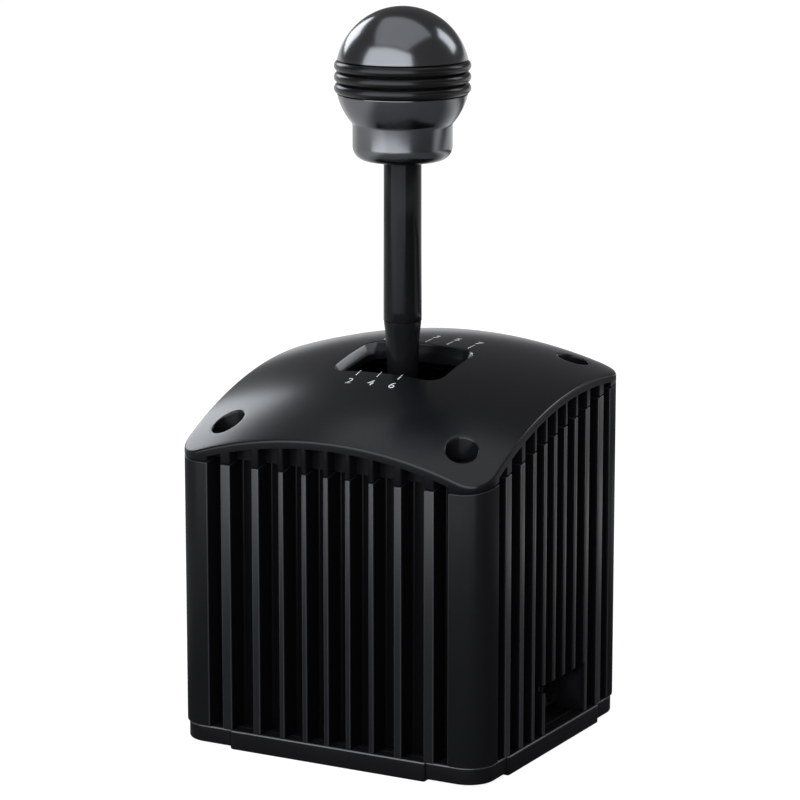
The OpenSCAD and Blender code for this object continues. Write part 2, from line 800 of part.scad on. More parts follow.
module knob_stud() {
    color(steel) translate([0, 0, knob_z - stud_low]) cylinder(r = stud_r, h = stud_low + stud_high);
}

module knob_base() {
    color(gunmetal) difference() {
        rotate_extrude($fn = 128) {
            translate([0, knob_z]) square([collar_r - collar_round, collar_round]);
            translate([0, knob_z + collar_round]) square([collar_r, collar_h - collar_round]);
            intersection() {
                translate([collar_r - collar_round, knob_z + collar_round]) circle(collar_round);
                translate([0, knob_z]) square([collar_r, collar_round]);
            }
            intersection() {
                translate([0, low_mid_z]) circle(knob_r);
                translate([0, waist_z - eps]) square([knob_r, band_low - waist_z + eps]);
            }
            translate([0, band_low - eps]) square([core_r, band_h + eps]);
        }
        translate([0, 0, knob_z - 1]) cylinder(r = stud_r + fixed, h = stud_high + 1 + fixed);
        translate([0, 0, band_high - dome_plug_h]) cylinder(r = dome_plug_r + fixed, h = dome_plug_h + 1);
    }
}

module knob_rings() {
    color(rubber) for (i = [0 : ring_count - 1])
        translate([0, 0, band_low + (i + 0.5) * ring_pitch]) rotate_extrude($fn = 128) {
            mid_r = knob_r + ring_proud - ring_round;
            in_r = core_r + ring_seat;
            intersection() {
                translate([mid_r, 0]) circle(ring_round);
                translate([in_r, -ring_round]) square([knob_r, 2 * ring_round]);
            }
            translate([in_r, -ring_round]) square([mid_r - in_r, 2 * ring_round]);
        }
}

module knob_dome() {
    color(gunmetal) rotate_extrude($fn = 128) {
        intersection() {
            translate([0, high_mid_z]) circle(knob_r);
            translate([0, band_high]) square([knob_r, knob_r]);
        }
        translate([0, band_high - dome_plug_h + pass]) square([dome_plug_r, dome_plug_h]);
    }
}

base_plate();
mounting_plate();
plate_screws();
base_screws();
finned_housing();
top_cover();
cover_screws();
gate_plate();
gate_pillars();
gate_screws();
front_bracket();
rear_bracket();
bracket_screws();
select_bushes();
main_board();
board_spacers();
board_screws();
data_sockets();
position_sensor();
centering_spring();
gimbal_frame();
select_pins();
pin_spacers();
pin_clips();
shift_bushes();
pivot_hub();
shift_axle();
axle_clips();
gate_finger();
position_magnet();
detent_plug();
detent_spring();
detent_plunger();
lever_stem();
lever_sleeve();
knob_stud();
knob_base();
knob_rings();
knob_dome();
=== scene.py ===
import bmesh
import bpy
import numpy as np
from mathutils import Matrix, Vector


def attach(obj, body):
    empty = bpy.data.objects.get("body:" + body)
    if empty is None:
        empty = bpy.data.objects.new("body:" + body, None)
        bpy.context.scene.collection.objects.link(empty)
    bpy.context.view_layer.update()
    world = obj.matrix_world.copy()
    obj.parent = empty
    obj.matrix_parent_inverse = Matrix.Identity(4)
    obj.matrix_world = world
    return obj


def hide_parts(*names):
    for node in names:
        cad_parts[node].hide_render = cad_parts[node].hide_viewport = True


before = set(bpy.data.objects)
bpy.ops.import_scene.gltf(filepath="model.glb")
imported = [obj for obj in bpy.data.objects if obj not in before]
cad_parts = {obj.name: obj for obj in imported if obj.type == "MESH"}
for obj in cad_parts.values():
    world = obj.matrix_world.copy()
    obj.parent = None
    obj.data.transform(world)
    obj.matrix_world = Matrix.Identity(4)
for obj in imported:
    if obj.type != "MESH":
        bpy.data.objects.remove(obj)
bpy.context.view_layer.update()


# Mounting plate: the lowest piece, a cross of 4 mm aluminium plate whose four ends turn up as lips around
# the bottom of the body. It is milled, black anodised, and held to the base by four screws sunk into its
# underside; the four tapped holes take the bolts of a rig.
plate_half_x, plate_half_y = 60.4, 54.9
arm_half_x, arm_half_y = 38.5, 35
lip_height, lip_wall, plate_thick = 7.0, 5, 4
foot_edge, top_edge = 0.8, 0.6
bolt_x, bolt_y = 32, 27
seat_x, seat_y = 42, 38.5


def rounded(corners, radii, steps):
    """Closed outline, anticlockwise, through corners that all turn by a right angle. A corner with the
    directions a in and b out and the radius r becomes the quarter circle p + r(b - a) + r(a sin t - b cos t).
    Gives the points and their outward normals."""
    corners = np.asarray(corners, float)
    after = np.roll(corners, -1, 0) - corners
    after /= np.linalg.norm(after, axis=1, keepdims=True)
    before = np.roll(after, 1, 0)[:, None]
    after = after[:, None]
    r = np.broadcast_to(np.asarray(radii, float), len(corners))[:, None, None]
    t = np.linspace(0, np.pi / 2, steps + 1)[None, :, None]
    points = corners[:, None] + r * (after - before) + r * (before * np.sin(t) - after * np.cos(t))
    run = before * np.cos(t) + after * np.sin(t)
    out = np.stack([run[..., 1], -run[..., 0]], -1)
    return points.reshape(-1, 2), out.reshape(-1, 2)


def new_object(name, points, faces):
    """Mesh object from points in millimetres, at the origin."""
    mesh = bpy.data.meshes.new(name)
    mesh.from_pydata((np.asarray(points) * 0.001).tolist(), [], faces)
    made = bpy.data.objects.new(name, mesh)
    bpy.context.scene.collection.objects.link(made)
    return made


def wall_faces(rows, count, first=0):
    """Quads between neighbouring rings of count points, each ring closed."""
    at = first + np.arange(rows * count).reshape(rows, count)
    low, high = at[:-1], at[1:]
    return np.stack([low, np.roll(low, -1, 1), np.roll(high, -1, 1), high], -1).reshape(-1, 4).tolist()


def fan_faces(ring, tip, upward):
    """Triangles from a tip point to each side of a ring of point numbers."""
    pair = [ring, np.roll(ring, -1)] if upward else [np.roll(ring, -1), ring]
    return np.stack([np.full(len(ring), tip), *pair], -1).tolist()


def skin(name, rings):
    """Closed surface over a stack of rings: quads between neighbours, and a fan over the first and last."""
    rings = np.asarray(rings, float)
    rows, count = rings.shape[:2]
    points = np.vstack([rings.reshape(-1, 3), rings[0].mean(0), rings[-1].mean(0)])
    ring = np.arange(count)
    faces = wall_faces(rows, count)
    faces += fan_faces(ring, rows * count, False)
    faces += fan_faces(ring + (rows - 1) * count, rows * count + 1, True)
    return new_object(name, points, faces)


def upright(outline, normals, profile):
    """Rings of an upright wall: each (inset, z) of the profile moves the outline in along its normals."""
    profile = np.asarray(profile, float)
    plan = outline[None] - normals[None] * profile[:, :1, None]
    return np.concatenate([plan, np.broadcast_to(profile[:, 1:, None], plan.shape[:2] + (1,))], -1)


def quarter(r, inset, z, begin, end, steps=4):
    """Profile points of a rounded edge: (inset - r cos t, z + r sin t) for t from begin to end degrees."""
    t = np.radians(np.linspace(begin, end, steps + 1))
    return np.stack([inset - r * np.cos(t), z + r * np.sin(t)], -1)


def spun(profile, count):
    """Rings of a (radius, z) profile carried round the upright axis: (r cos a, r sin a, z)."""
    profile = np.asarray(profile, float)
    a = np.linspace(0, 2 * np.pi, count, endpoint=False)
    return np.stack([profile[:, :1] * np.cos(a), profile[:, :1] * np.sin(a),
                     np.broadcast_to(profile[:, 1:], (len(profile), count))], -1)


def lathe(name, profile, count=96, at=(0, 0, 0)):
    """Solid of revolution about an upright axis through a point."""
    return skin(name, spun(profile, count) + np.asarray(at, float))


def cut(target, *cutters):
    """Takes the cutters out of the target for good."""
    for cutter in cutters:
        hull = bmesh.new()
        hull.from_mesh(cutter.data)
        bmesh.ops.recalc_face_normals(hull, faces=hull.faces)
        hull.to_mesh(cutter.data)
        hull.free()
        step = target.modifiers.new("cut", "BOOLEAN")
        step.operation, step.solver, step.object = "DIFFERENCE", "EXACT", cutter
    bpy.context.view_layer.update()
    seen = target.evaluated_get(bpy.context.evaluated_depsgraph_get())
    target.data = bpy.data.meshes.new_from_object(seen)
    target.modifiers.clear()
    for cutter in cutters:
        bpy.data.objects.remove(cutter)


def fit(piece, body, slot, finish, *nodes, angle=32):
    """Gives a piece its material and soft shading, and hangs it on its body in place of CAD nodes."""
    piece.data.materials.clear()
    piece.data.materials.append(finish)
    piece.data.polygons.foreach_set("use_smooth", np.ones(len(piece.data.polygons), bool))
    piece.data.set_sharp_from_angle(angle=np.radians(angle))
    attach(piece, body)
    if nodes:
        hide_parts(*nodes)


class Wire:
    """An output socket of a material. Arithmetic on it adds Math nodes."""

    def __init__(self, tree, socket=None):
        self.tree, self.socket = tree, socket

    def node(self, kind, inputs=None, output=0, **settings):
        """A new node with its settings and its sockets' values or links, given as a Wire at one output."""
        made = self.tree.nodes.new(kind)
        for key, value in settings.items():
            setattr(made, key, value)
        for key, value in (inputs or {}).items():
            if isinstance(value, Wire):
                self.tree.links.new(value.socket, made.inputs[key])
            else:
                made.inputs[key].default_value = value
        return Wire(self.tree, made.outputs[output])

    def math(self, operation, a, b):
        """A Math node on two numbers or Wires."""
        return self.node("ShaderNodeMath", {0: a, 1: b}, operation=operation)

    def __add__(self, other):
        return self.math("ADD", self, other)

    def __sub__(self, other):
        return self.math("SUBTRACT", self, other)

    def __rsub__(self, other):
        return self.math("SUBTRACT", other, self)

    def __mul__(self, other):
        return self.math("MULTIPLY", self, other)

    __radd__, __rmul__ = __add__, __mul__

    def axes(self):
        """The three parts of a vector, each as a Wire."""
        split = self.node("ShaderNodeSeparateXYZ", {"Vector": self})
        return [Wire(self.tree, output) for output in split.socket.node.outputs]

    def step(self, low, high):
        """Smooth rise from 0 to 1 while this value goes from low to high."""
        return self.node("ShaderNodeMapRange", {"Value": self, "From Min": low, "From Max": high},
                         interpolation_type="SMOOTHSTEP")

    def noise(self, scale, detail=2.0, stretch=(1, 1, 1)):
        """Noise of a size given in cells a metre, stretched along the axes."""
        place = self.node("ShaderNodeMapping", {"Vector": self, "Scale": stretch})
        return self.node("ShaderNodeTexNoise", {"Vector": place, "Scale": scale, "Detail": detail})

    def tint(self, low, high):
        """Colour from low, three numbers or a Wire, to high as this value goes from 0 to 1."""
        low = low if isinstance(low, Wire) else (*low, 1)
        return self.node("ShaderNodeMix", {"Factor": self, 6: low, 7: (*high, 1)}, 2, data_type="RGBA")

    def bump(self, depth):
        """Normal of a relief of this value times depth metres."""
        return self.node("ShaderNodeBump", {"Height": self, "Distance": depth, "Strength": 1.0})


def material(name):
    """A new material, and a Wire at its object coordinates."""
    made = bpy.data.materials.new(name)
    made.use_nodes = True
    return made, Wire(made.node_tree).node("ShaderNodeTexCoord", output="Object")


def dress(made, sockets):
    """Sets or links sockets of the material's Principled shader."""
    shader = made.node_tree.nodes["Principled BSDF"]
    for key, value in sockets.items():
        if isinstance(value, Wire):
            made.node_tree.links.new(value.socket, shader.inputs[key])
        else:
            shader.inputs[key].default_value = value


anodised, here = material("anodised_black")
cloud = here.noise(60, 3)
grain = here.noise(2500, 2)
# The rounding below the top face carries a painted highlight: a lighter colour and a coat there.
up = here.axes()[2]
painted_top_highlight = up.step(0.0063, 0.0066) * (1 - up.step(0.00685, 0.00697))
black = cloud.tint((0.005, 0.005, 0.006), (0.008, 0.008, 0.009))
dress(anodised, {"Base Color": painted_top_highlight.tint(black, (0.070, 0.071, 0.075)), "Specular IOR Level": 0.08,
                 "Coat Roughness": 0.2, "Coat Weight": painted_top_highlight,
                 "Roughness": 0.32 + 0.10 * cloud, "Normal": grain.bump(0.00001)})


def cross_corners(side, end):
    """Corners of the cross, with its sides and its ends moved out."""
    arm_x, arm_y = arm_half_x + side, arm_half_y + side
    end_x, end_y = plate_half_x + end, plate_half_y + end
    half = np.array([(arm_x, -end_y), (arm_x, -arm_y), (end_x, -arm_y),
                     (end_x, arm_y), (arm_x, arm_y), (arm_x, end_y)])
    return np.vstack([half, -half])


plate_line, plate_out = rounded(cross_corners(0, 0), 1.0, 5)
mounting_plate = skin("mounting_plate_milled", upright(plate_line, plate_out, np.vstack([
    quarter(foot_edge, foot_edge, foot_edge, -90, 0),
    quarter(top_edge, top_edge, lip_height - top_edge, 0, 90)])))
pocket_line, pocket_out = rounded(cross_corners(1, -lip_wall), 0.8, 3)
pocket = skin("pocket", upright(pocket_line, pocket_out, [(0, plate_thick), (0, lip_height + 1)]))
bolts = [lathe("bolt_hole", [(2.5, -1), (2.9, 0), (2.5, 0.4), (2.5, 5)], 32, (x, y, 0))
         for x in (-bolt_x, bolt_x) for y in (-bolt_y, bolt_y)]
seat_profile = [(4.2, -1), (4.2, -0.2), (3.9, 0.2), (3.9, 2.4), (2.4, 2.4), (2.4, 5)]
seats = [lathe("screw_seat", seat_profile, 32, (x, y, 0))
         for x, y in ((-seat_x, 0), (seat_x, 0), (0, -seat_y), (0, seat_y))]
cut(mounting_plate, pocket, *bolts, *seats)
fit(mounting_plate, "housing", "base", anodised, "mounting_plate")


# Base plate: the plate that closes the housing from below. Only its four rounded corners show between the
# lips, a little higher than they are. Same black anodised aluminium, screwed up into the corner posts.
base_half_x, base_half_y, base_foot = 59.5, 54, 0.8
corner_r = 9.6
screw_x, screw_y = 45.5, 42
lip_gap, slot_half, slot_x, slot_y = 0.2, 4, 59, 53.5
block = np.array([(-1, -1), (1, -1), (1, 1), (-1, 1)])
base_line, base_out = rounded(block * (base_half_x, base_half_y), corner_r, 10)
base_plate = skin("base_plate_milled", upright(base_line, base_out, np.vstack([
    quarter(foot_edge, foot_edge, base_foot + foot_edge, -90, 0),
    quarter(top_edge, top_edge, lip_height - top_edge, 0, 90)])))
cross_line, cross_out = rounded(cross_corners(lip_gap, 1), 1.0, 3)
cross_cut = skin("cross_cut", upright(cross_line, cross_out, [(0, -1), (0, plate_thick + 0.05)]))
wells = [lathe("base_well", [(4.9, -1), (4.9, 4.2), (2.9, 4.2), (2.9, 8)], 32, (x, y, 0))
         for x in (-screw_x, screw_x) for y in (-screw_y, screw_y)]
cut(base_plate, cross_cut, *wells)
front_slot, side_slot = (arm_half_x + lip_gap, slot_half), (slot_half, arm_half_y + lip_gap)
for half_size, middle in ((front_slot, (0, -slot_y)), (front_slot, (0, slot_y)),
                          (side_slot, (-slot_x, 0)), (side_slot, (slot_x, 0))):
    line, out = rounded(block * half_size + middle, 0.5, 2)
    cut(base_plate, skin("lip_cut", upright(line, out, [(0, 3), (0, 9)])))
fit(base_plate, "housing", "base", anodised, "base_plate")


# Finned housing: one aluminium extrusion, nine fins and two rounded posts to a face, fins growing thicker
# towards the posts. It is sawn off on a slope at the top, deburred, bead-blasted and black anodised. A port
# for the two data sockets is milled into the right wall.
body_half_x, body_half_y = 60, 54.5
front_post, front_pitch = 46.8, 8.4
side_post, side_pitch = 42.5, 7.6
fin_thin, fin_depth, last_gap = 1.9, 8.5, 7.2
fin_edge, groove_edge, cut_edge = 0.45, 0.8, 0.3
seam_front, seam_slope = 101.2, np.tan(np.radians(11))
corner_steps = 6


def fin_gaps(post, pitch):
    """Begin and end of the ten gaps of a face. Fins stand at pitch k plus a cubic term that widens the
    pitch towards the posts, and beyond the second fin they grow to twice the thickness."""
    k = np.arange(-4, 5)
    middle = pitch * k + (post - last_gap - 4 * pitch) * (k / 4) ** 3
    half = (fin_thin + fin_thin * np.maximum(0, (abs(k) - 2) / 2)) / 2
    return np.stack([np.r_[-post, middle + half], np.r_[middle - half, post]], -1)


front_gaps, side_gaps = fin_gaps(front_post, front_pitch), fin_gaps(side_post, side_pitch)
faces_plan = [(front_gaps, body_half_x, body_half_y, 0), (side_gaps, body_half_y, body_half_x, 90),
              (front_gaps, body_half_x, body_half_y, 180), (side_gaps, body_half_y, body_half_x, 270)]


def turned(points, degrees):
    """Points turned about the upright axis."""
    c, s = np.cos(np.radians(degrees)), np.sin(np.radians(degrees))
    x, y = points[..., 0] * c - points[..., 1] * s, points[..., 0] * s + points[..., 1] * c
    return np.concatenate([np.stack([x, y], -1), points[..., 2:]], -1)


body_corners, corner_radii = [], []
for gaps, half, reach, degrees in faces_plan:
    begin, end = gaps[:, 0], gaps[:, 1]
    face, bottom = np.full(len(gaps), -reach), np.full(len(gaps), fin_depth - reach)
    gap_corners = np.stack([begin, face, begin, bottom, end, bottom, end, face], -1)
    body_corners.append(turned(np.vstack([[(-half, -reach)], gap_corners.reshape(-1, 2)]), degrees))
    corner_radii.append(np.r_[corner_r, np.tile([fin_edge, groove_edge, groove_edge, fin_edge], len(gaps))])
corner_radii = np.concatenate(corner_radii)
body_line, body_out = rounded(np.vstack(body_corners), corner_radii, corner_steps)


def seam_z(y):
    """Height of the sloped saw cut."""
    return seam_front + (y + body_half_y) * seam_slope


def on_slope(rings):
    """Rings given with z from 0 to 1, stretched between the base plate and the sloped cut."""
    rings = np.array(rings)
    low = rings[..., 2] < 0.5
    rings[..., 2] = np.where(low, rings[..., 2] + lip_height, rings[..., 2] - 1 + seam_z(rings[..., 1]))
    return rings


outer = on_slope(upright(body_line, body_out, np.vstack([
    quarter(cut_edge, cut_edge, cut_edge, -90, 0, 3), quarter(cut_edge, cut_edge, 1 - cut_edge, 0, 90, 3)])))
# The well inside is a cross, so that the four posts keep room for their screws.
half_well = np.array([(48.5, -34.5), (48.5, 34.5), (38, 34.5), (38, 43), (-38, 43), (-38, 34.5)])
well_line, well_out = rounded(np.vstack([half_well, -half_well]), np.tile([2, 2, 6, 2, 2, 6], 2), 6)
inner = on_slope(upright(well_line, well_out, [(0, 1), (0, 0)]))
body_count, well_count = len(body_line), len(well_line)
first_inner = outer.shape[0] * body_count
housing = new_object("finned_housing_extruded", np.vstack([outer.reshape(-1, 3), inner.reshape(-1, 3)]),
                     wall_faces(len(outer), body_count) + wall_faces(2, well_count, first_inner))
# The two sawn ends, between the outer and the inner wall, are filled with triangles.
shell = bmesh.new()
shell.from_mesh(housing.data)
shell.verts.ensure_lookup_table()
low_set = set(range(body_count)) | set(range(first_inner + well_count, first_inner + 2 * well_count))
for is_low in (True, False):
    open_edges = [e for e in shell.edges if e.is_boundary and (e.verts[0].index in low_set) == is_low]
    bmesh.ops.triangle_fill(shell, edges=open_edges, use_beauty=True, normal=(0, 0, -1 if is_low else 1))
bmesh.ops.recalc_face_normals(shell, faces=shell.faces)
shell.to_mesh(housing.data)
shell.free()

# The rounded edges of the fins and of the upper saw cut carry a painted highlight, lighter than the faces.
arc_points = corner_steps + 1
arc_r = np.repeat(corner_radii, arc_points).reshape(-1, arc_points)
fin_edges = (arc_r == fin_edge) * np.sin(np.linspace(0, np.pi, arc_points))
saw_edge = np.r_[0, 0, 0, 0, 0, 0.8, 1, 0.6][:, None] * (arc_r != groove_edge).ravel()
edge_highlight = np.r_[np.maximum(fin_edges.ravel(), saw_edge).ravel(), np.zeros(2 * well_count)]
housing.data.attributes.new("painted_edge_highlight", "FLOAT", "POINT").data.foreach_set("value", edge_highlight)

port = np.array([(47.5, 6), (61, 6), (61, 25.6), (60, 25), (57, 22), (47.5, 22)])
port_cut = skin("port_cut", np.stack([np.stack([port[:, 0], port[:, 0] * 0 + y, port[:, 1]], -1)
                                      for y in (24.0, -6.7)]))
notch_cut = skin("notch_cut", [[(51.5, y, 22), (61, y, 22), (61, y, 25), (51.5, y, 25)]
                               for y in (-6.0, -8.9)])
cut(housing, port_cut, notch_cut)

extruded, here = material("extruded_black")
lines = here.noise(900, 3, (1, 1, 0.012))
cloud = here.noise(45, 3)
grain = here.noise(3000, 2)
# Painted sheen and shade: the fin faces have a painted sheen, the side faces a little more, the posts less of
# it and the depth of the grooves hardly any, with a darker colour painted in the grooves as shade.
across, along = here.axes()[:2]
across, along = here.math("ABSOLUTE", across, 0.0), here.math("ABSOLUTE", along, 0.0)
inset = here.math("MINIMUM", 0.001 * body_half_x - across, 0.001 * body_half_y - along)
post = (across.step(0.001 * (front_post - 0.1), 0.001 * (front_post + 0.1))
        * along.step(0.001 * (side_post - 0.1), 0.001 * (side_post + 0.1)))
groove_shade = inset.step(0.0003, 0.0011) * (1 - post)
# Painted highlight on the rounded edges, read from the point attribute: lighter colour and more coat.
edge = here.node("ShaderNodeAttribute", output=2, attribute_name="painted_edge_highlight")
side_face = across.step(0.0590, 0.0594) * (1 - post)
painted_sheen = 0.75 + 0.15 * side_face - 0.58 * post + 0.06 * cloud + 0.4 * edge
black = (1 - groove_shade).tint((0.0038, 0.0038, 0.0042), (0.0066, 0.0067, 0.0076))
dress(extruded, {"Base Color": (0.4 * edge).tint(black, (0.060, 0.061, 0.066)),
                 "Specular IOR Level": 0.0, "Coat Roughness": 0.28,
                 "Coat Weight": painted_sheen * (1 - 0.8 * groove_shade),
                 "Roughness": 0.34 + 0.10 * cloud + 0.05 * lines,
                 "Normal": (lines + 0.5 * grain).bump(0.000012)})
fit(housing, "housing", "housing", extruded, "finned_housing")


# Inner works: brackets, gimbal, hub, shift gate, detent, springs, screws and board. They are turned and
# milled steel with bronze bushes, seen only through the lever's opening, the port and from below, so the
# shapes are those of the CAD.
def metal(name, low, high, rough, scale, stretch=(1, 1, 1)):
    """Bare metal with a cloudy colour, and scratches or grain of a given size."""
    made, here = material(name)
    cloud, grain = here.noise(150, 3), here.noise(scale, 4, stretch)
    dress(made, {"Base Color": cloud.tint(low, high), "Metallic": 1.0,
                 "Roughness": rough + 0.15 * grain, "Normal": grain.bump(0.000004)})
    return made


steel = metal("milled_steel", (0.32, 0.32, 0.33), (0.42, 0.42, 0.43), 0.3, 1500, (1, 0.05, 1))
ground = metal("ground_steel", (0.50, 0.50, 0.51), (0.58, 0.58, 0.59), 0.14, 3000)
zinc = metal("zinc_plated", (0.42, 0.43, 0.46), (0.52, 0.53, 0.55), 0.26, 900)
spring_wire = metal("spring_wire", (0.20, 0.20, 0.21), (0.28, 0.28, 0.29), 0.26, 4000)
bronze = metal("sintered_bronze", (0.36, 0.23, 0.10), (0.46, 0.31, 0.15), 0.36, 6000)
nickel = metal("nickel_magnet", (0.55, 0.54, 0.52), (0.62, 0.61, 0.58), 0.16, 2500)
oxide = metal("black_oxide", (0.018, 0.018, 0.020), (0.030, 0.030, 0.032), 0.30, 2500)

mask, here = material("solder_mask")
tracks = here.node("ShaderNodeTexBrick", {"Vector": here, "Scale": 260.0, "Mortar Size": 0.04}, 1)
dress(mask, {"Base Color": tracks.tint((0.010, 0.055, 0.024), (0.014, 0.085, 0.036)),
             "Roughness": 0.34, "Coat Weight": 0.3, "Normal": tracks.bump(0.00002)})

plastic, here = material("socket_plastic")
grain = here.noise(5000, 2)
dress(plastic, {"Base Color": here.noise(200, 2).tint((0.005, 0.005, 0.006), (0.008, 0.008, 0.009)),
                "Specular IOR Level": 0.2,
                "Roughness": 0.40 + 0.12 * grain, "Normal": grain.bump(0.000006)})

for made, nodes in ((steel, "gate_plate front_bracket rear_bracket gimbal_frame pivot_hub"),
                    (ground, "select_pins shift_axle gate_finger detent_plunger"),
                    (zinc, "plate_screws base_screws gate_screws bracket_screws board_screws gate_pillars "
                           "detent_plug knob_stud"),
                    (spring_wire, "centering_spring detent_spring pin_clips axle_clips"),
                    (bronze, "select_bushes shift_bushes pin_spacers board_spacers"),
                    (nickel, "position_magnet"), (mask, "main_board"),
                    (plastic, "data_sockets position_sensor"), (oxide, "cover_screws")):
    for name in nodes.split():
        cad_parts[name].data.materials.clear()
        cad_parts[name].data.materials.append(made)

# Socket contacts: six gilt spring wires in each of the two modular sockets, bent down from the roof at
# the back of the plug space.
gilt = metal("gilt_contact", (0.62, 0.44, 0.16), (0.72, 0.53, 0.22), 0.18, 3000)
socket_y, contact_pitch, wire_half = (1.65, 15.65), 1.02, 0.2
bend = np.array([(38.3, 20.2), (40.5, 19.9), (43.0, 18.6), (46.0, 17.2), (47.2, 17.6)])
wire_shape, wire_loop = (len(bend), len(block)), wire_half * block


def bar_faces(rows, count, first):
    """Faces of a closed bar over a stack of rings: its walls, and one flat face at each end."""
    ring = first + np.arange(count)
    return wall_faces(rows, count, first) + [ring[::-1].tolist(), (ring + (rows - 1) * count).tolist()]


wires, wire_faces = [], []
for y in np.add.outer(socket_y, contact_pitch * np.arange(-2.5, 3)).ravel():
    rings = np.stack([np.broadcast_to(bend[:, :1], wire_shape),
                      np.broadcast_to(y - wire_loop[:, 0], wire_shape), bend[:, 1:] + wire_loop[:, 1]], -1)
    wire_faces += bar_faces(*wire_shape, sum(map(len, wires)))
    wires.append(rings.reshape(-1, 3))
contacts = new_object("socket_contacts", np.vstack(wires), wire_faces)
fit(contacts, "housing", "socket", gilt)


# Top cover: one machined or cast aluminium cap in satin black. Its top is a shallow dome that leans to the
# front, rounded over at the rim; below the arched rim it carries short fins over those of the housing. The
# lever comes through a rounded opening with a bevelled lip, and four screws sit deep in counterbores.
dome_front_r, dome_side_r = 187, 161
dome_mid_y, dome_mid_z = 27.681, -25.203
rim_r, rim_depth, window_edge, window_depth = 0.7, 3.1, 0.35, 5.0
cover_gap, cover_roof = 0.5, 6
gate_half_x, gate_half_y, gate_mid_y, gate_r = 19.75, 13.5, 0.7, 4
bore_r, hole_r, bore_edge, bore_floor = 5.5, 3.4, 0.45, 2.2
hollow_foot, window_foot, gate_foot = 90, 95, 100.0


def dome_z(x, y):
    """Height of the dome: an arc with the front's radius f from left to right, turned about an axis at the
    sides' radius s. At x the turning radius is p = s - f + sqrt(f^2 - x^2), and
    z = z0 + sqrt(p^2 - (y - y0)^2)."""
    p = dome_side_r - dome_front_r + np.sqrt(dome_front_r ** 2 - x ** 2)
    return dome_mid_z + np.sqrt(p ** 2 - (y - dome_mid_y) ** 2)


def denser(points, normals, pitch):
    """The same closed outline with further points on its straight runs, about one every pitch."""
    loop, out = np.vstack([points, points[:1]]), np.vstack([normals, normals[:1]])
    along = np.r_[0, np.cumsum(np.linalg.norm(np.diff(loop, axis=0), axis=1))]
    more = np.arange(0, along[-1], pitch)
    more = more[np.abs(more[:, None] - along[None]).min(1) > 0.3 * pitch]
    along_new = np.sort(np.r_[along[:-1], more])
    def spread(values):
        return np.stack([np.interp(along_new, along, values[:, i]) for i in (0, 1)], -1)
    return spread(loop), spread(out)


cap_line, cap_out = denser(*rounded(block * (body_half_x, body_half_y), corner_r, 14), 2.0)


def heights(plan, z):
    """Rings from plan points and heights."""
    return np.concatenate([plan, z[..., None]], -1)


t = np.radians(np.linspace(0, 90, 7))[:, None, None]
over = cap_line[None] - cap_out[None] * rim_r * (1 - np.sin(t))
rim = heights(over, dome_z(over[..., 0], over[..., 1]) - rim_r * (1 - np.cos(t[..., 0])))
share = np.linspace(0.02, 1, 40)[:, None, None]
top_plan = over[:1] * share
top = heights(top_plan, dome_z(top_plan[..., 0], top_plan[..., 1]))
foot_t = np.radians(np.linspace(0, 90, 4))[:, None, None]
foot_plan = cap_line[None] - cap_out[None] * cut_edge * (1 - np.cos(foot_t))
foot = heights(foot_plan, seam_z(foot_plan[..., 1]) + cover_gap + cut_edge * (1 - np.sin(foot_t[..., 0])))
cover = skin("top_cover_domed", np.concatenate([foot[::-1], rim[::-1], top[:-1][::-1]]))
hollow_plan = well_line[None] * np.r_[1, np.linspace(1, 0.03, 14)][:, None, None]
hollow_z = dome_z(hollow_plan[..., 0], hollow_plan[..., 1]) - cover_roof
hollow_z[0] = hollow_foot
hollow = skin("cover_hollow", heights(hollow_plan, hollow_z))

# One window stands over each gap of the housing, with a rounded mouth and an arched top along the rim.
mouth_t = np.radians(np.linspace(0, 90, 8))
depths = np.r_[-2, window_edge * np.sin(mouth_t), window_depth]
mouth = np.r_[window_edge, window_edge * (1 - np.cos(np.pi / 2 - mouth_t)), 0]
cutter_points, cutter_faces = [], []
for gaps, _, reach, degrees in faces_plan:
    for begin, end in gaps:
        span = np.linspace(0, 1, 10)[None]
        s = begin - mouth[:, None] + span * (end - begin + 2 * mouth[:, None])
        spot = turned(np.stack([s, np.broadcast_to(depths[:, None] - reach, s.shape)], -1), degrees)
        arch = heights(spot, dome_z(spot[..., 0], spot[..., 1]) - rim_depth + mouth[:, None])
        sill = arch[:, [-1, 0]].copy()
        sill[..., 2] = window_foot
        rings = np.concatenate([arch[:, ::-1], sill[:, ::-1]], 1)
        cutter_faces += bar_faces(*rings.shape[:2], sum(map(len, cutter_points)))
        cutter_points.append(rings.reshape(-1, 3))
windows = new_object("window_cut", np.vstack(cutter_points), cutter_faces)

gate_corners = block * (gate_half_x, gate_half_y) + (0, gate_mid_y)
gate_line, gate_out = denser(*rounded(gate_corners, gate_r, 10), 1.5)
lip_path = np.array([(0, 3.2), (0.03, 3.0), (0.10, 2.82), (1.50, 0.46), (1.62, 0.27), (1.76, 0.10),
                     (1.95, 0.0)])
lip_plan = gate_line[None] + gate_out[None] * lip_path[:, :1, None]
lip = heights(lip_plan, dome_z(lip_plan[..., 0], lip_plan[..., 1]) - lip_path[:, 1:])
above = lip[-1:] + (0, 0, 4.0)
below = heights(gate_line[None], np.full((1, len(gate_line)), gate_foot))
opening = skin("lever_opening", np.concatenate([below, lip, above]))


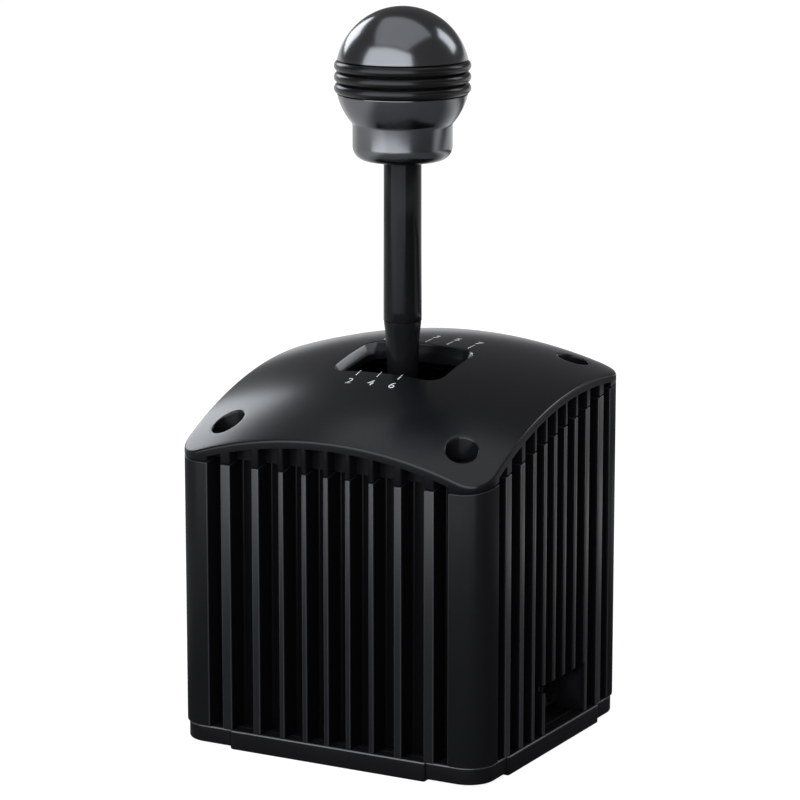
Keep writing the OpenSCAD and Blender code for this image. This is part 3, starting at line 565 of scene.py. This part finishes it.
def sunk_hole(x, y):
    """Counterbore with a softened edge that follows the dome, and the through hole below it."""
    seat = seam_z(y) + bore_floor
    edge_t = np.radians(np.linspace(0, 90, 5))
    brim_r = bore_r + bore_edge * (1 - np.cos(edge_t))
    brim = spun(np.stack([brim_r, -bore_edge * (1 - np.sin(edge_t))], -1), 64) + (x, y, 0)
    brim[..., 2] += dome_z(brim[..., 0], brim[..., 1])
    flat = spun([(hole_r, hollow_foot), (hole_r, seat), (bore_r, seat)], 64) + (x, y, 0)
    return skin("counterbore", np.concatenate([flat, brim, brim[-1:] + (0, 0, 3)]))


bores = [sunk_hole(x, y) for x in (-screw_x, screw_x) for y in (-screw_y, screw_y)]
cut(cover, hollow, windows, opening, *bores)

satin, here = material("satin_black")
cloud = here.noise(30, 3)
grain = here.noise(2600, 2)
# Depth below the dome tells the glossy top from the dull walls. The two sides of the lip carry a painted
# highlight, a lighter colour and a strong coat.
across, along, up = here.axes()
turn = (here.math("POWER", (0.001 * dome_front_r) ** 2 - across * across, 0.5)
        + 0.001 * (dome_side_r - dome_front_r))
run = along - 0.001 * dome_mid_y
depth = up - (here.math("POWER", turn * turn - run * run, 0.5) + 0.001 * dome_mid_z)
top_face = depth.step(-0.0009, -0.0002)
side = here.math("ABSOLUTE", across, 0.0)
lip_highlight = (side.step(0.0180, 0.0192) * (1 - side.step(0.0218, 0.0222))
            * (1 - here.math("ABSOLUTE", along - 0.001 * gate_mid_y, 0.0).step(0.0150, 0.0156))
            * depth.step(-0.0042, -0.0034) * (1 - depth.step(-0.0004, -0.0001)))
black = cloud.tint((0.0045, 0.0046, 0.0055), (0.0065, 0.0066, 0.0078))
dress(satin, {"Base Color": (0.8 * lip_highlight).tint(black, (0.11, 0.11, 0.115)),
              "Specular IOR Level": 0.04, "Coat Roughness": 0.22, "Coat Tint": (0.93, 0.96, 1.0, 1),
              "Coat Weight": (0.56 + 0.08 * cloud) * top_face + 0.9 * lip_highlight + 0.08,
              "Roughness": 0.27 + 0.06 * cloud, "Normal": grain.bump(0.000008)})
fit(cover, "housing", "cover", satin, "top_cover", angle=28)


# Gear marks: thin white ticks at the lanes of the gate and the gear numbers beyond them, three in front of
# the opening and five behind it. They are pad printed on the finished dome.
front_lanes, back_lanes = (-8.7, -0.5, 7.7), (-17.2, -8.8, -0.4, 8.0, 16.4)
front_tick_y, front_tick_half, front_gear_y = -15.7, 1.85, -23.3
back_tick_y, back_tick_half, back_gear_y = 20.4, 2.7, 24.6
tick_half_wide, gear_size, gear_weight = 0.16, 5.0, -0.03
front_gear_x = (-8.9, -0.5, 7.8)
print_lift, print_thick = 0.02, 0.07
paint, here = material("white_print")
dress(paint, {"Base Color": here.noise(3000, 2).tint((0.72, 0.72, 0.72), (0.82, 0.82, 0.82)),
              "Roughness": 0.5})


def printed(name, points, faces):
    """Flat print with its points dropped on the dome, as thick as a coat of ink."""
    plan = np.asarray(points, float)[:, :2]
    made = new_object(name, heights(plan, dome_z(plan[:, 0], plan[:, 1]) + print_lift), faces)
    thick = made.modifiers.new("thick", "SOLIDIFY")
    thick.thickness, thick.offset = 0.001 * print_thick, 0
    fit(made, "housing", "cover", paint)


lanes = [(x, front_tick_y, front_tick_half) for x in front_lanes]
lanes += [(x, back_tick_y, back_tick_half) for x in back_lanes]
ticks = [block * (tick_half_wide, half) + (x, y) for x, y, half in lanes]
printed("lane_ticks", np.vstack(ticks), np.arange(4 * len(ticks)).reshape(-1, 4).tolist())
gears = [(label, x, front_gear_y) for label, x in zip("246", front_gear_x)]
gears += [(label, x, back_gear_y) for label, x in zip("R1357", back_lanes)]
for label, x, y in gears:
    curve = bpy.data.curves.new("gear", "FONT")
    curve.body, curve.align_x, curve.size, curve.offset = label, "CENTER", gear_size, gear_weight
    holder = bpy.data.objects.new("gear", curve)
    bpy.context.scene.collection.objects.link(holder)
    bpy.context.view_layer.update()
    glyph = bpy.data.meshes.new_from_object(holder.evaluated_get(bpy.context.evaluated_depsgraph_get()))
    spots = np.empty(3 * len(glyph.vertices))
    glyph.vertices.foreach_get("co", spots)
    bpy.data.objects.remove(holder)
    printed("gear_" + label, spots.reshape(-1, 3) + (x, y, 0), [list(p.vertices) for p in glyph.polygons])


# Lever: a turned aluminium stem, hard anodised black, that thins towards the opening, and above the step
# a plain sleeve clamped between the stem and the knob.
turned_black, here = material("turned_black")
tool_marks = here.noise(2500, 2, (0.02, 0.02, 1))
cloud = here.noise(80, 3)
dress(turned_black, {"Base Color": cloud.tint((0.005, 0.005, 0.006), (0.008, 0.008, 0.009)),
                     "Specular IOR Level": 0.12, "Specular Tint": (0.90, 0.94, 1.0, 1),
                     "Roughness": 0.11 + 0.06 * cloud, "Normal": tool_marks.bump(0.000004)})
stem_profile = [(4.5, 90.2), (4.5, 98), (5, 98.1), (5, 118.3), (5.25, 124), (5.62, 133), (5.9, 140),
                (6.2, 143), (6.5, 145.4), (6.5, 146.2), (4, 146.25), (4, 160.3)]
stem = lathe("lever_stem_turned", stem_profile)
fit(stem, "lever", "lever_black", turned_black, "lever_stem", angle=20)
sleeve_profile = [(4.05, 202.4), (4.05, 146.3), (6.45, 146.3), (6.6, 146.36), (6.67, 146.5), (6.66, 150),
                  (6.6, 175), (6.55, 202.0), (6.4, 202.39), (4.3, 202.4)]
sleeve = lathe("lever_sleeve_turned", sleeve_profile)
fit(sleeve, "lever", "lever_black", turned_black, "lever_sleeve", angle=40)


# Knob: a turned and polished gunmetal ball in two halves on a collar, with three black rubber rings in the
# groove between the halves. The upper half plugs into the lower one.
ball_r, low_mid, high_mid = 23.05, 230.33, 232.23
collar_top, low_top, high_foot = 215.1, 225.2, 237.3
groove_foot, ring_pitch, ring_r, ring_mid = 225.43, 3.85, 1.87, 21.68
ring_sweep, ring_inner, ring_inner_half = 118, 20.65, 1.6


def arc(r, cx, cz, begin, end, steps):
    """Points of a circle in the (radius, z) plane, from begin to end degrees."""
    a = np.radians(np.linspace(begin, end, steps))
    return np.stack([cx + r * np.cos(a), cz + r * np.sin(a)], -1)


gunmetal, here = material("polished_gunmetal")
smear = here.noise(70, 2, (1, 1, 0.6))
fine = here.noise(4000, 2, (0.03, 0.03, 1))
dress(gunmetal, {"Base Color": smear.tint((0.155, 0.158, 0.167), (0.180, 0.183, 0.193)), "Metallic": 1.0,
                 "Roughness": 0.15 + 0.06 * smear, "Normal": fine.bump(0.000003)})
low_begin, low_end = np.degrees(np.arcsin((np.array([collar_top, low_top]) - low_mid) / ball_r))
knob_base = lathe("knob_base_turned", np.vstack([
    [(4.1, 203.0), (4.1, 202.4), (9.0, 202.4)],
    arc(5, 12.3, 207.4, -90, 0, 14), [(17.3, 214.7), (17.36, 215.0)],
    arc(ball_r, 0, low_mid, low_begin + 0.8, low_end, 20),
    [(22.4, 225.38), (22.1, 225.43), (20.6, 225.45), (20.6, 236.9), (8.1, 236.95), (8.1, 230.0)]]), 128)
fit(knob_base, "lever", "knob_metal", gunmetal, "knob_base")
high_begin = np.degrees(np.arcsin((high_foot - high_mid) / ball_r))
knob_dome = lathe("knob_dome_turned", np.vstack([
    [(8.0, 230.0), (8.0, 236.98), (21.9, 236.98), (22.3, 237.02)],
    arc(ball_r, 0, high_mid, high_begin, 89.2, 40)]), 128)
fit(knob_dome, "lever", "knob_metal", gunmetal, "knob_dome")

rubber, here = material("grip_rubber")
grain = here.noise(3500, 3)
dress(rubber, {"Base Color": here.noise(100, 2).tint((0.004, 0.004, 0.004), (0.007, 0.007, 0.007)),
               "Specular IOR Level": 0.3,
               "Roughness": 0.20 + 0.08 * grain, "Normal": grain.bump(0.00001)})
# Each ring is a closed profile, a bulge with a flat inner side, carried round the knob.
ring_points, ring_faces = [], []
for z in groove_foot + ring_pitch * (np.arange(3) + 0.5):
    bulge = arc(ring_r, ring_mid, z, -ring_sweep, ring_sweep, 22)
    rings = spun(np.vstack([[(ring_inner, z - ring_inner_half)], bulge,
                            [(ring_inner, z + ring_inner_half)]]), 128)
    at = sum(map(len, ring_points)) + np.arange(rings[..., 0].size).reshape(rings.shape[:2])
    later = np.roll(at, -1, 0)
    quads = np.stack([at, np.roll(at, -1, 1), np.roll(later, -1, 1), later], -1)
    ring_points.append(rings.reshape(-1, 3))
    ring_faces += quads.reshape(-1, 4).tolist()
grip = new_object("grip_rings_moulded", np.vstack(ring_points), ring_faces)
fit(grip, "lever", "knob_rubber", rubber, "knob_rings", angle=50)


# Stage: a floor that is white to the camera, and bright in reflections behind and to the left of the
# shifter and its own grey in front; four softboxes in a plain studio, and the camera of the photo.
floor_half, floor_z = 6000, -0.1
floor_plan = floor_half * block
floor = new_object("floor", np.c_[floor_plan, np.full(4, floor_z)], [[0, 1, 2, 3]])
white, here = material("white_floor")
rays = here.tree.nodes.new("ShaderNodeLightPath").outputs
seen = Wire(here.tree, rays["Is Camera Ray"]) + Wire(here.tree, rays["Is Transmission Ray"])
across, along = here.axes()[:2]
behind = along.step(0.12, 0.40) * (1 - along.step(0.40, 0.65)) + along.step(0.78, 0.95)
beside = 0.60 * (0 - across).step(0.10, 0.25)
swept = 0.92 * here.math("MAXIMUM", behind, beside)
far = here.node("ShaderNodeVectorMath", {0: here}, "Value", operation="LENGTH").step(0.3, 1.2)
dress(white, {"Base Color": (0.25, 0.25, 0.25, 1), "Roughness": 0.9, "Specular IOR Level": 0.0,
              "Emission Color": (0.93 + 0.06 * far) * seen + swept * Wire(here.tree, rays["Is Glossy Ray"]),
              "Emission Strength": 1.0})
# From below the floor is clear, so that the underside can be seen.
from_below = here.node("ShaderNodeNewGeometry", output="Backfacing")
clear = here.node("ShaderNodeBsdfTransparent", output="BSDF")
opaque = Wire(here.tree, here.tree.nodes["Principled BSDF"].outputs["BSDF"])
one_sided = here.node("ShaderNodeMixShader", {"Fac": from_below, 1: opaque, 2: clear}, "Shader")
here.tree.links.new(one_sided.socket, here.tree.nodes["Material Output"].inputs["Surface"])
floor.data.materials.append(white)

# The world is white at the horizon and to the camera, and dim above in light and reflections.
world = bpy.data.worlds.new("studio")
bpy.context.scene.world = world
world.use_nodes = True
studio = world.node_tree
sky = Wire(studio).node("ShaderNodeTexCoord", output="Generated").axes()[2]
looked_at = Wire(studio, studio.nodes.new("ShaderNodeLightPath").outputs["Is Camera Ray"])
backdrop = studio.nodes["Background"].inputs
studio.links.new((1.0 - 0.85 * sky.step(0.04, 0.12) * (1 - looked_at)).socket, backdrop["Strength"])
backdrop["Color"].default_value = (1, 1, 1, 1)


def soft_light(name, level, wide, high, spot, aim):
    """Softbox at a spot, in metres, turned to a point; level is its brightness as seen in a mirror."""
    lamp = bpy.data.lights.new(name, "AREA")
    lamp.shape, lamp.size, lamp.size_y = "RECTANGLE", wide, high
    lamp.energy, lamp.color = level * np.pi * wide * high, (0.92, 0.96, 1.0)
    holder = bpy.data.objects.new(name, lamp)
    holder.location = spot
    holder.rotation_euler = (Vector(aim) - Vector(spot)).to_track_quat("-Z", "Y").to_euler()
    bpy.context.scene.collection.objects.link(holder)


soft_light("front", 2.5, 1.45, 1.0, (0.0, -0.7, 0.51), (0, 0, 0.51))
soft_light("top", 0.75, 1.5, 1.4, (0.0, -0.2, 1.4), (0, -0.2, 0.1))
soft_light("left", 4.4, 0.70, 0.60, (-1.27, 0.59, 0.78), (0, 0, 0.16))
soft_light("right", 3.2, 0.50, 0.70, (0.74, 1.15, 1.05), (0, 0, 0.14))

azimuth, elevation, distance = np.radians(28.718), np.radians(12.116), 1.2551
target = Vector((-0.0009 * np.cos(azimuth), -0.0009 * np.sin(azimuth), 0.117888))
back = Vector((np.sin(azimuth) * np.cos(elevation), -np.cos(azimuth) * np.cos(elevation), np.sin(elevation)))
camera = bpy.data.objects.new("camera", bpy.data.cameras.new("camera"))
camera.data.sensor_width, camera.data.lens = 36, 161.87
camera.location = target + back * distance
camera.rotation_euler = (-back).to_track_quat("-Z", "Y").to_euler()
bpy.context.scene.collection.objects.link(camera)
bpy.context.scene.camera = camera
bpy.context.scene.view_settings.view_transform = "Standard"
